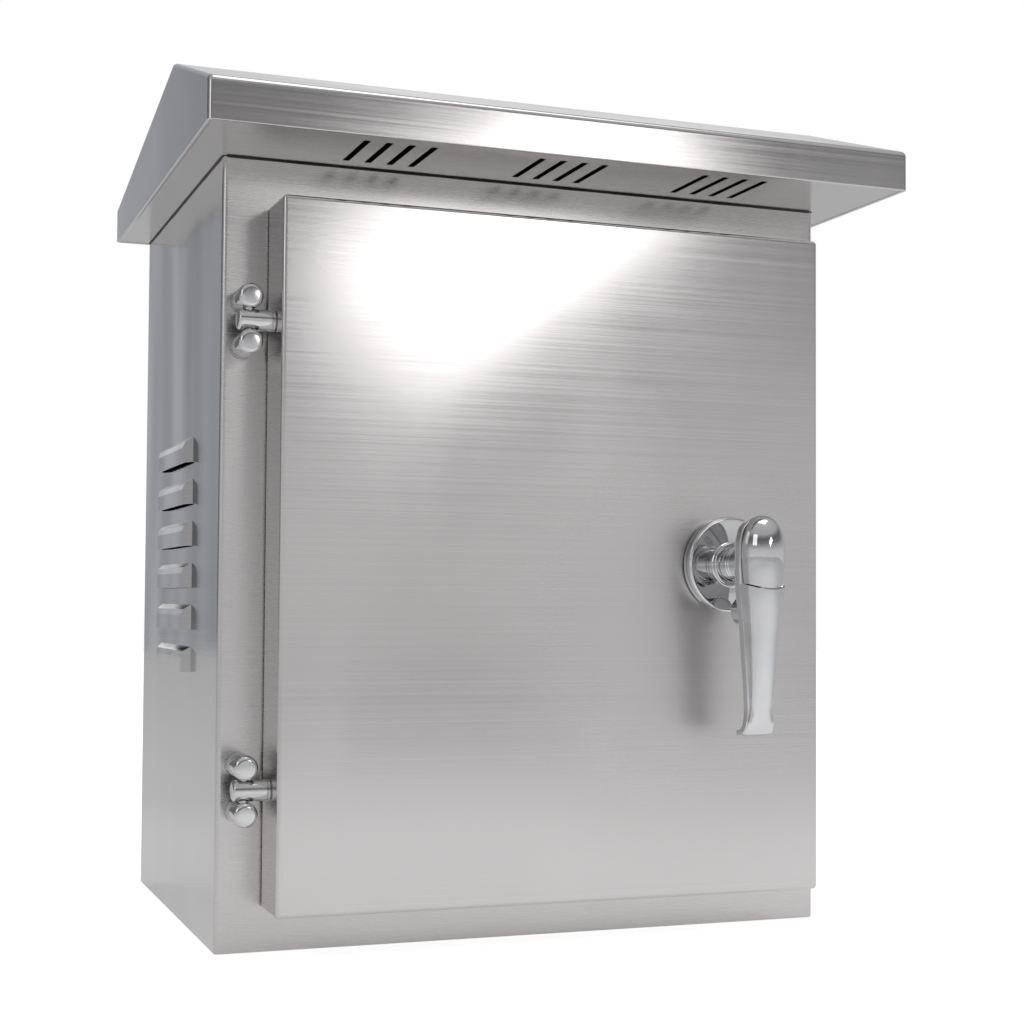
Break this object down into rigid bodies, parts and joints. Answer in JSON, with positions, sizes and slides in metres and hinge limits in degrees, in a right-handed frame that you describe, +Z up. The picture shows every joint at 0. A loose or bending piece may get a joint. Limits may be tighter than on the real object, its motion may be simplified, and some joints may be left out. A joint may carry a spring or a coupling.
{
  "type": "outdoor utility cabinet with rain hood",
  "caption": "Wall-mounted stainless utility cabinet with a gabled rain hood, side louvres, a hinged door and a drop lever lock.",
  "frame": {"origin": "centre of the body's flat underside", "axes": "+Z up, +Y towards the wall, the door faces -Y"},
  "size_m": [0.336, 0.2738, 0.3999],
  "materials": {
    "body_steel": "polished to a soft mirror",
    "hood_steel": "satin brushed",
    "door_steel": "horizontally brushed satin",
    "hinge_steel": "polished",
    "chrome": "mirror chrome",
    "zinc_plated_steel": "zinc plated",
    "key_brass": "nickel plated brass",
    "galvanised_plate": "galvanised",
    "foam_seal": "matt"
  },
  "bodies": {
    "cabinet": {"body_shell": "body_steel", "doorway_collar": "body_steel", "hood_roof": "hood_steel", "hood_soffit": "hood_steel", "hood_bolts": "zinc_plated_steel", "hood_nuts": "zinc_plated_steel", "upper_hinge_knuckles": "hinge_steel", "lower_hinge_knuckles": "hinge_steel", "upper_hinge_pin": "hinge_steel", "lower_hinge_pin": "hinge_steel", "knuckle_nuts": "zinc_plated_steel", "mounting_plate": "galvanised_plate", "plate_studs": "zinc_plated_steel", "plate_washers": "zinc_plated_steel", "plate_nuts": "zinc_plated_steel", "earth_stud": "zinc_plated_steel", "earth_nut": "zinc_plated_steel"},
    "door": {"door_panel": "door_steel", "door_gasket": "foam_seal", "upper_hinge_arm": "hinge_steel", "lower_hinge_arm": "hinge_steel", "arm_nuts": "zinc_plated_steel", "rosette": "chrome", "rosette_seal": "foam_seal", "lock_nut": "zinc_plated_steel", "door_earth_stud": "zinc_plated_steel", "door_earth_nut": "zinc_plated_steel"},
    "handle": {"lever": "chrome", "spindle": "zinc_plated_steel", "latch_cam": "zinc_plated_steel", "cam_washer": "zinc_plated_steel", "cam_bolt": "zinc_plated_steel", "cap_pin": "zinc_plated_steel"},
    "cap": {"dust_cap": "chrome"},
    "key_plug": {"key_cylinder": "key_brass"}
  },
  "joints": [
    {"name": "door_swing", "type": "hinge", "parent": "cabinet", "child": "door", "pos_m": [-0.1411, -0.115, 0.17475], "axis": [0, 0, -1], "range_deg": [0, 170]},
    {"name": "handle_turn", "type": "hinge", "parent": "door", "child": "handle", "pos_m": [0.0845, -0.1366, 0.173], "axis": [0, 1, 0], "range_deg": [0, 90]},
    {"name": "cap_swing", "type": "hinge", "parent": "handle", "child": "cap", "pos_m": [0.0845, -0.1586, 0.1845], "axis": [0, 1, 0], "range_deg": [0, 100]},
    {"name": "key_turn", "type": "hinge", "parent": "handle", "child": "key_plug", "pos_m": [0.0845, -0.1586, 0.173], "axis": [0, 1, 0], "range_deg": [0, 90]}
  ]
}
